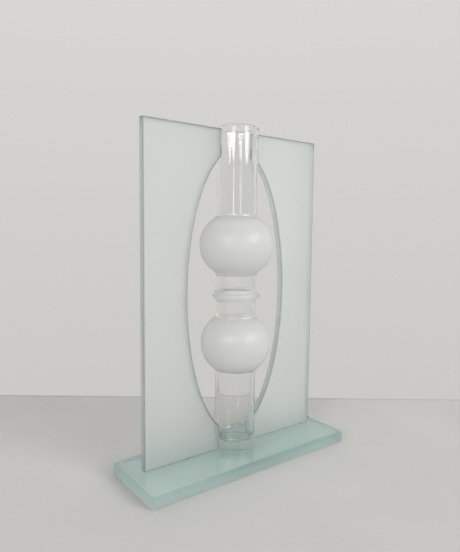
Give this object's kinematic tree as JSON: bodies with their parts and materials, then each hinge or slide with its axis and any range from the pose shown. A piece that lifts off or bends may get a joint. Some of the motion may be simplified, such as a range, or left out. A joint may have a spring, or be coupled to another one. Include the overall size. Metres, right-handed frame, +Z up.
{
  "type": "storm glass",
  "caption": "Open lampworked glass tube with frosted bulbs and a raised ring, held upright between frosted glass panels on a green-tinted glass base.",
  "frame": {"origin": "centre of the base's flat underside", "axes": "+Z up along the vessel, +X along the two panels, +Y to the side that the panels are set towards"},
  "size_m": [0.15, 0.051, 0.2107],
  "materials": {
    "base_glass": "green-tinted float glass, polished top, satin underside and edges",
    "panel_glass": "float glass, satin-frosted faces, fine-ground edges",
    "tube_glass": "clear borosilicate, fire-polished",
    "bulb_glass": "borosilicate, sandblasted white outside",
    "clear_adhesive": "clear cured adhesive"
  },
  "bodies": {
    "root": {"glass_base": "base_glass", "left_panel": "panel_glass", "right_panel": "panel_glass", "vessel_foot": "tube_glass", "lower_bulb": "bulb_glass", "lower_waist": "tube_glass", "centre_ring": "tube_glass", "upper_waist": "tube_glass", "upper_bulb": "bulb_glass", "neck_tube": "tube_glass", "vessel_lip": "tube_glass", "vessel_bond": "clear_adhesive", "left_panel_bond": "clear_adhesive", "right_panel_bond": "clear_adhesive", "left_neck_bead": "clear_adhesive", "right_neck_bead": "clear_adhesive", "left_foot_bead": "clear_adhesive", "right_foot_bead": "clear_adhesive"}
  },
  "joints": []
}
